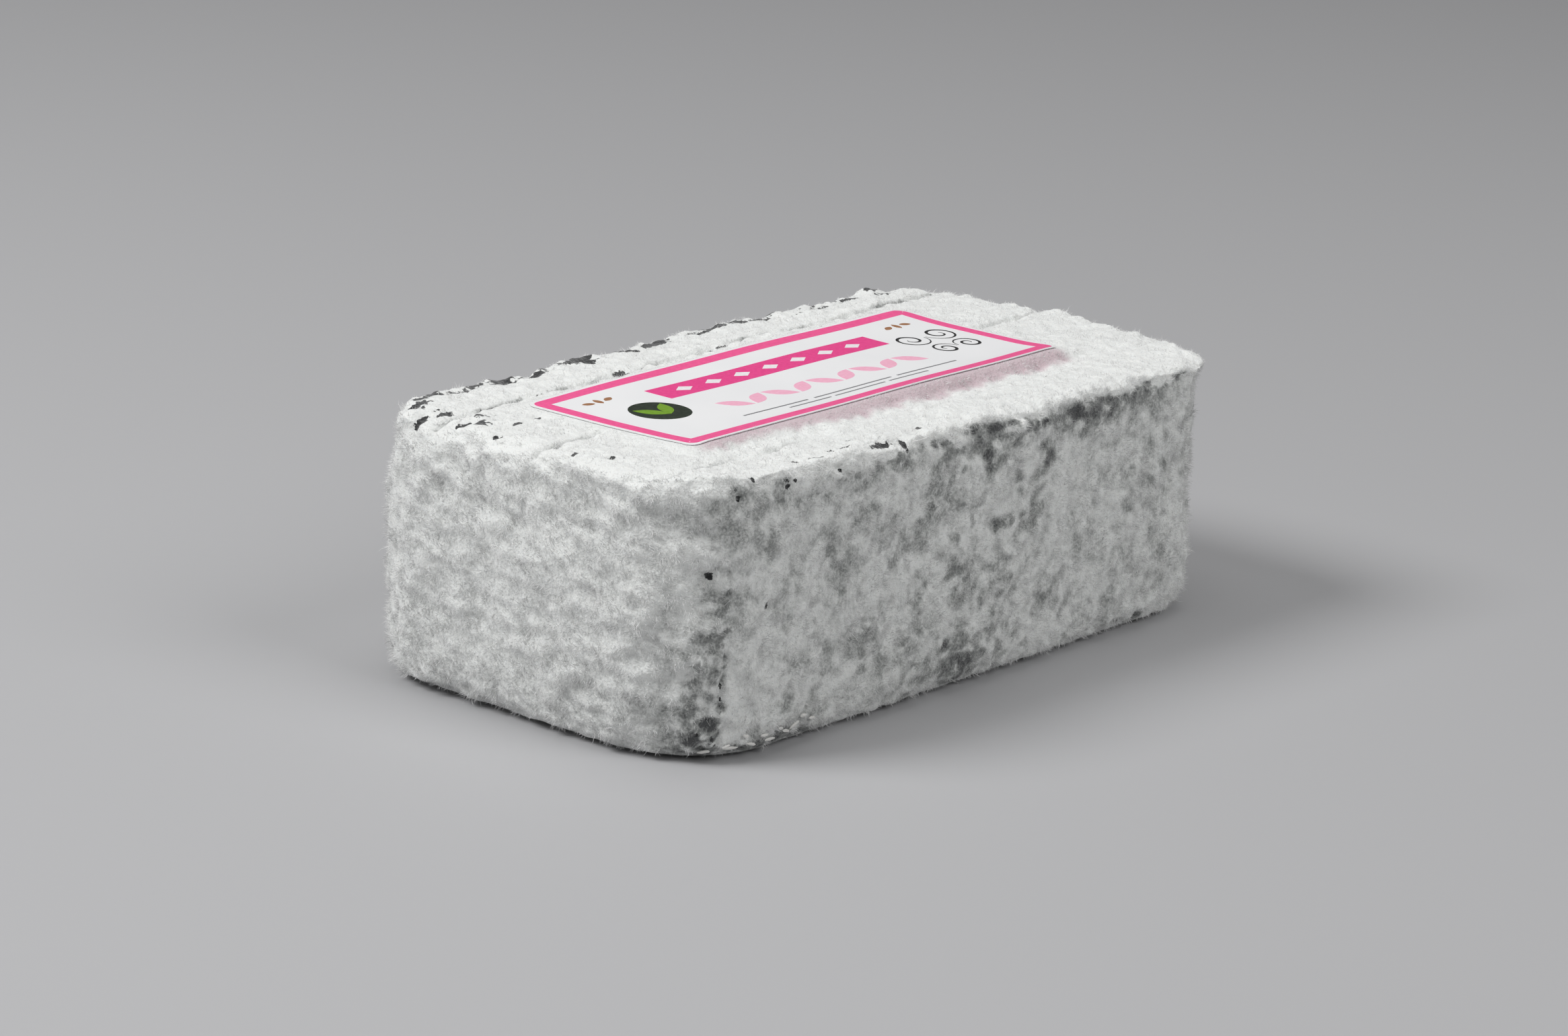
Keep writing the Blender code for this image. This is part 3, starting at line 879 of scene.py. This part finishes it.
def lay_flakes(rind):
    """Small pale flakes of bloom that hang on the rind by the near corner."""
    tree = surface_of(rind.data)
    draw = np.random.default_rng(5)
    flakes = []
    for along, height, length in FLAKES:
        start = Vector((along * MM, -1.0, height * MM))
        place, normal, _, _ = tree.ray_cast(start, Vector((0.0, 1.0, 0.0)))
        deselect_all()
        bpy.ops.mesh.primitive_ico_sphere_add(subdivisions=2, radius=1.0)
        flake = bpy.context.object
        for vert in flake.data.vertices:
            vert.co *= 1.0 + 0.35 * noise.noise(vert.co * 1.7 + Vector((along, height, 0.0)))
        tilt = draw.uniform(-0.35, 0.35)
        turn = normal.to_track_quat("Z", "X").to_matrix().to_4x4()
        sizes = Matrix.Diagonal((length * FLAKE_SIZE[0], FLAKE_SIZE[1], FLAKE_SIZE[2], 1.0))
        level = Matrix.Rotation(math.radians(90.0) + tilt, 4, "Z")
        flake.data.transform(Matrix.Translation(place + normal * FLAKE_LIFT) @ turn @ level @ sizes)
        flakes.append(flake)
    piece = joined(flakes)
    piece.name = "flakes"
    finish = Finish("flake", roughness=0.9)
    finish.set("Base Color", (*FLAKE_WHITE, 1.0))
    piece.data.materials.clear()
    piece.data.materials.append(finish.material)
    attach(piece, "root")


def down_finish():
    """White mould threads, greyer where they stand on ash and on painted shade."""
    finish = Finish("down", roughness=1.0)
    light = finish.noise(3.0 * MM, detail=1.0)
    pale = finish.blend(finish.ramp(light, 0.3, 0.7), DOWN_WHITE, DOWN_SHADE)
    ashy = finish.ramp(finish.attribute("ash"), 0.15, 1.1, 0.0, 0.75)
    finish.colour(finish.blend(ashy, pale, ASH_AND_SHADE_GREY))
    finish.set("Specular IOR Level", 0.1)
    return finish.material


def to_label(x, y):
    """A plan place, in the label's own length and width."""
    from_x = x - label_centre.x
    from_y = y - label_centre.y
    along = from_x * math.cos(LABEL_TURN) + from_y * math.sin(LABEL_TURN)
    across = from_y * math.cos(LABEL_TURN) - from_x * math.sin(LABEL_TURN)
    return along, across


def from_label(along, across):
    """A place in the label's own length and width, in plan."""
    x = label_centre.x + along * math.cos(LABEL_TURN) - across * math.sin(LABEL_TURN)
    y = label_centre.y + along * math.sin(LABEL_TURN) + across * math.cos(LABEL_TURN)
    return x, y


def paper_heights():
    """Heights of the label solid's upper side on an even grid, smoothed of its facets."""
    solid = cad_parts["label"].data
    tree = surface_of(solid)
    rows = np.zeros((round(LABEL_LENGTH / PAPER_STEP) + 1, round(LABEL_WIDTH / PAPER_STEP) + 1))
    for i in range(rows.shape[0]):
        for j in range(rows.shape[1]):
            along = (i / (rows.shape[0] - 1) - 0.5) * LABEL_LENGTH * 0.995
            across = (j / (rows.shape[1] - 1) - 0.5) * LABEL_WIDTH * 0.99
            x, y = from_label(along, across)
            hit = tree.ray_cast(Vector((x, y, 1.0)), Vector((0.0, 0.0, -1.0)))[0]
            rows[i, j] = (hit or tree.find_nearest(Vector((x, y, TOP)))[0]).z
    for _ in range(6):
        wide = np.pad(rows, 1, mode="reflect", reflect_type="odd")
        rows = (4.0 * rows + wide[2:, 1:-1] + wide[:-2, 1:-1] + wide[1:-1, 2:] + wide[1:-1, :-2]) / 8.0
    return rows


def paper_top(along, across):
    """Height of the paper's upper side at places in the label's length and width."""
    last = np.array(paper_rows.shape) - 1.0
    i = np.clip((along / LABEL_LENGTH + 0.5) * last[0], 0.0, last[0] - 0.001)
    j = np.clip((across / LABEL_WIDTH + 0.5) * last[1], 0.0, last[1] - 0.001)
    low_i, low_j = i.astype(int), j.astype(int)
    part_i, part_j = i - low_i, j - low_j
    near = paper_rows[low_i, low_j] * (1 - part_i) + paper_rows[low_i + 1, low_j] * part_i
    far = paper_rows[low_i, low_j + 1] * (1 - part_i) + paper_rows[low_i + 1, low_j + 1] * part_i
    return near * (1 - part_j) + far * part_j


def cut_across(piece, step):
    """Cuts a flat piece into cells small enough to bend with the paper."""
    shape = bmesh.new()
    shape.from_mesh(piece.data)
    for axis in range(2):
        reach = [vert.co[axis] for vert in shape.verts]
        across = Vector((axis == 0, axis == 1, 0.0))
        for index in range(math.ceil(min(reach) / step), math.floor(max(reach) / step) + 1):
            parts = shape.verts[:] + shape.edges[:] + shape.faces[:]
            bmesh.ops.bisect_plane(shape, geom=parts, plane_co=across * index * step, plane_no=across)
    shape.to_mesh(piece.data)
    shape.free()


def lay_on_paper(piece, name, finish, thickness, level, step=INK_STEP):
    """Gives a flat piece its thickness, bends it over the paper and finishes it."""
    piece.name = name
    work_on(piece)
    bpy.ops.object.transform_apply(location=True, rotation=True, scale=True)
    cut_across(piece, step)
    solid = piece.modifiers.new("thickness", "SOLIDIFY")
    solid.thickness = thickness
    solid.offset = 1.0
    apply_modifiers(piece)
    for vert in piece.data.vertices:
        along, across, rise = vert.co
        x, y = from_label(along, across)
        vert.co = (x, y, paper_top(along, across) + rise + level)
    piece.data.materials.clear()
    piece.data.materials.append(finish)
    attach(piece, "root")


def rounded_plate(length, width, corner):
    """A flat plate with round corners, lying in the label's own frame."""
    deselect_all()
    bpy.ops.mesh.primitive_plane_add(size=1.0)
    plate = bpy.context.object
    plate.scale = (length, width, 1.0)
    bpy.ops.object.transform_apply(location=False, rotation=False, scale=True)
    bpy.ops.object.mode_set(mode="EDIT")
    bpy.ops.mesh.select_all(action="SELECT")
    bpy.ops.mesh.bevel(offset=corner, segments=7, affect="VERTICES")
    bpy.ops.object.mode_set(mode="OBJECT")
    return plate


def paper_finish():
    """White satin paper with a faint tooth."""
    finish = Finish("label paper", roughness=0.38)
    tooth = finish.noise(0.35 * MM, detail=3.0)
    cloud = finish.noise(9.0 * MM, detail=1.0)
    white = finish.blend(finish.ramp(cloud, 0.35, 0.65), PAPER_WHITE, PAPER_SHADE)
    finish.colour(white)
    finish.bump(tooth, 0.012 * MM, 0.5)
    finish.set("Specular IOR Level", 0.4)
    return finish.material


def ink_finish(name, colour):
    """A printed ink, a little uneven as print on paper is."""
    finish = Finish(name, roughness=0.42)
    grain = finish.noise(0.5 * MM, detail=2.0)
    pale = tuple(min(1.0, c * 1.08 + 0.015) for c in colour)
    finish.colour(finish.blend(finish.ramp(grain, 0.3, 0.7), colour, pale))
    return finish.material


def print_piece(piece, name, ink, colour, level=0.0):
    """Prints a flat piece in one ink, on the paper or at a level above it."""
    lay_on_paper(piece, name, ink_finish(ink, colour), INK, level)


def lay_paper():
    """The label's paper."""
    paper = rounded_plate(LABEL_LENGTH, LABEL_WIDTH, LABEL_CORNER)
    lay_on_paper(paper, "paper", paper_finish(), PAPER, -PAPER, PAPER_STEP)
    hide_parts("label")


def print_frame():
    """A plain pink frame round the label, round at its outer corners and sharp at its inner ones."""
    length = LABEL_LENGTH - 2.0 * FRAME_INSET
    width = LABEL_WIDTH - 2.0 * FRAME_INSET
    frame_ink = rounded_plate(length, width, LABEL_CORNER - FRAME_INSET / 2.0)
    bpy.ops.object.mode_set(mode="EDIT")
    bpy.ops.mesh.select_all(action="SELECT")
    bpy.ops.mesh.inset(thickness=FRAME_WIDTH)
    bpy.ops.object.mode_set(mode="OBJECT")
    half_length = length / 2.0 - FRAME_WIDTH
    half_width = width / 2.0 - FRAME_WIDTH
    for vert in frame_ink.data.vertices:
        if vert.select:
            vert.co.x = min(max(vert.co.x, -half_length), half_length)
            vert.co.y = min(max(vert.co.y, -half_width), half_width)
    bpy.ops.object.mode_set(mode="EDIT")
    bpy.ops.mesh.delete(type="ONLY_FACE")
    bpy.ops.mesh.select_all(action="SELECT")
    bpy.ops.mesh.remove_doubles(threshold=0.01 * MM)
    bpy.ops.object.mode_set(mode="OBJECT")
    print_piece(frame_ink, "pink_frame", "frame pink", FRAME_PINK)


def flat_round(place, half_length, half_width, turn=0.0, count=24, point=0.0):
    """A flat round, or with a point above 0 a leaf, in the label's own frame."""
    deselect_all()
    bpy.ops.mesh.primitive_circle_add(vertices=count, radius=1.0, fill_type="NGON")
    item = bpy.context.object
    for vert in item.data.vertices:
        vert.co.y *= (1.0 - vert.co.x**2) ** point if abs(vert.co.x) < 1.0 else 0.0
    item.scale = (half_length, half_width, 1.0)
    item.rotation_euler = (0.0, 0.0, turn)
    item.location = (*place, 0.0)
    bpy.ops.object.transform_apply(location=True, rotation=True, scale=True)
    return item


def joined(items):
    """Joins the items into the first."""
    deselect_all()
    for item in items:
        item.select_set(True)
    bpy.context.view_layer.objects.active = items[0]
    bpy.ops.object.join()
    return items[0]


def flat_bar(place, half_length, half_width):
    """A flat rectangle in the label's own frame."""
    bar = flat_round(place, 1.0, 1.0, count=4)
    for vert, (x, y) in zip(bar.data.vertices, ((-1.0, 1.0), (-1.0, -1.0), (1.0, -1.0), (1.0, 1.0))):
        vert.co = (place[0] + x * half_length, place[1] + y * half_width, 0.0)
    return bar


def print_bar():
    """A hot pink bar with a row of white lozenges."""
    print_piece(flat_bar(BAR_PLACE, *BAR_SIZE), "pink_bar", "bar pink", BAR_PINK)
    lozenges = []
    for index in range(-3, 4):
        place = (BAR_PLACE[0] + index * LOZENGE_STEP, BAR_PLACE[1])
        lozenges.append(flat_round(place, *LOZENGE_SIZE, count=4))
    print_piece(joined(lozenges), "white_lozenges", "lozenge white", LOZENGE_WHITE, INK)


def print_petals():
    """A pale pink row of leaning petals."""
    petals = []
    for index in range(-4, 5):
        place = (index * PETAL_STEP, PETAL_LEVEL)
        lean = PETAL_LEAN if index % 2 else -PETAL_LEAN
        petals.append(flat_round(place, *PETAL_SIZE, turn=lean, point=0.6))
    print_piece(joined(petals), "pale_petals", "petal pink", PETAL_PINK)


def print_seal():
    """A round dark seal with two lime leaves."""
    ground = flat_round(SEAL_PLACE, SEAL_RADIUS, SEAL_RADIUS, count=48)
    print_piece(ground, "seal_ground", "seal green black", SEAL_DARK)
    leaves = []
    for side in (-1.0, 1.0):
        place = (SEAL_PLACE[0] + side * 1.35 * MM, SEAL_PLACE[1] + 0.2 * MM)
        turn = math.radians(90.0 - side * 34.0)
        leaves.append(flat_round(place, *LEAF_SIZE, turn=turn, point=0.6))
    print_piece(joined(leaves), "seal_leaves", "leaf lime", LEAF_LIME, INK)


def scroll_stroke(middle, start, radius, side):
    """A flat spiral stroke that thins to both ends."""
    shape = bmesh.new()
    count = 40
    before = None
    for index in range(count + 1):
        share = index / count
        angle = start + side * SCROLL_TURNS * 2.0 * math.pi * share
        reach = radius * (1.0 - 0.82 * share)
        half = SCROLL_WIDTH * (0.25 + 0.75 * math.sin(math.pi * share)) / 2.0
        way = Vector((math.cos(angle), math.sin(angle), 0.0))
        centre = Vector((*middle, 0.0))
        pair = [shape.verts.new(centre + way * (reach + edge * half)) for edge in (-1.0, 1.0)]
        if before:
            shape.faces.new((before[0], before[1], pair[1], pair[0]))
        before = pair
    bmesh.ops.recalc_face_normals(shape, faces=shape.faces)
    mesh = bpy.data.meshes.new("stroke")
    shape.to_mesh(mesh)
    shape.free()
    if mesh.polygons[0].normal.z < 0.0:
        mesh.flip_normals()
    item = bpy.data.objects.new("stroke", mesh)
    bpy.context.scene.collection.objects.link(item)
    return item


def print_scrolls():
    """Black scrolls, a mirrored pair over a mirrored pair."""
    strokes = []
    for side in (-1.0, 1.0):
        for level, size, turning in ((2.6, 1.0, side), (-3.0, 0.8, -side)):
            middle = (SCROLL_PLACE[0] + side * SCROLL_SPREAD * size, SCROLL_PLACE[1] + level * MM)
            start = math.radians(90.0 + side * 90.0)
            strokes.append(scroll_stroke(middle, start, SCROLL_RADIUS * size, turning))
    print_piece(joined(strokes), "black_scrolls", "scroll black", SCROLL_BLACK)


def print_small_marks():
    """Brown seeds at both ends of the bar, and thin grey rules."""
    seeds = []
    for side in (-1.0, 1.0):
        for step, turn in ((0.0, 20.0), (1.9, 90.0), (3.8, 160.0)):
            place = (side * (SEED_PLACE[0] + step * MM), SEED_PLACE[1])
            seeds.append(flat_round(place, *SEED_SIZE, turn=math.radians(turn), count=16, point=0.3))
    print_piece(joined(seeds), "brown_seeds", "seed brown", SEED_BROWN)
    rules = []
    for level, half in ((-8.3, 23.0), (-9.5, 15.0)):
        for start, end in ((-1.0, -0.42), (-0.36, 0.36), (0.42, 1.0)):
            middle = ((start + end) / 2.0 * half * MM, level * MM)
            rules.append(flat_bar(middle, (end - start) / 2.0 * half * MM, RULE_WIDTH / 2.0))
    print_piece(joined(rules), "grey_rules", "rule grey", RULE_GREY)


def floor_and_light():
    """A plain pale floor and soft lamps."""
    deselect_all()
    bpy.ops.mesh.primitive_plane_add(size=6.0, location=(0.0, 0.0, -0.05 * MM))
    floor = bpy.context.object
    floor.name = "floor"
    finish = Finish("pale floor", roughness=0.7)
    finish.set("Base Color", (*FLOOR_GREY, 1.0))
    floor.data.materials.append(finish.material)
    for name, (place, size, power) in LAMPS.items():
        lamp = bpy.data.lights.new(name, "AREA")
        lamp.shape = "DISK"
        lamp.size = size
        lamp.energy = power
        item = bpy.data.objects.new(name, lamp)
        item.location = place
        aim = LAMP_AIM - Vector(place)
        item.rotation_euler = aim.to_track_quat("-Z", "Y").to_euler()
        bpy.context.scene.collection.objects.link(item)
    world = bpy.data.worlds.new("soft room")
    world.use_nodes = True
    background = world.node_tree.nodes["Background"]
    background.inputs["Color"].default_value = (1.0, 1.0, 1.0, 1.0)
    background.inputs["Strength"].default_value = ROOM_LIGHT
    bpy.context.scene.world = world


def aim_camera():
    """The camera at the photograph's viewing angle."""
    flat = math.cos(CAMERA_DROP)
    ahead = Vector((flat * math.sin(CAMERA_TURN), flat * math.cos(CAMERA_TURN), -math.sin(CAMERA_DROP)))
    level = Vector((math.cos(CAMERA_TURN), -math.sin(CAMERA_TURN), 0.0))
    up = level.cross(ahead)
    right = level * math.cos(CAMERA_ROLL) + up * math.sin(CAMERA_ROLL)
    up = up * math.cos(CAMERA_ROLL) - level * math.sin(CAMERA_ROLL)
    camera = bpy.data.objects.new("camera", bpy.data.cameras.new("camera"))
    turn = Matrix((right, up, -ahead)).transposed().to_4x4()
    camera.matrix_world = Matrix.Translation(CAMERA_PLACE) @ turn
    camera.data.sensor_width = SENSOR
    camera.data.lens = PHOTO_FOCAL / PHOTO_WIDTH * SENSOR
    camera.data.clip_start = 0.01
    bpy.context.scene.collection.objects.link(camera)
    bpy.context.scene.camera = camera


paper_rows = paper_heights()
rind = grow_rind()
down_on(rind, "nap", NAP, 11, curved=False)
down_on(rind, "fluff", FLUFF, 13, curved=False)
down_on(rind, "tufts", TUFTS, 14, curved=False)
down_on(rind, "down", DOWN, 12, curved=True)
lay_flakes(rind)
lay_paper()
print_frame()
print_bar()
print_petals()
print_seal()
print_scrolls()
print_small_marks()
floor_and_light()
aim_camera()
bpy.context.scene.view_settings.view_transform = "Standard"
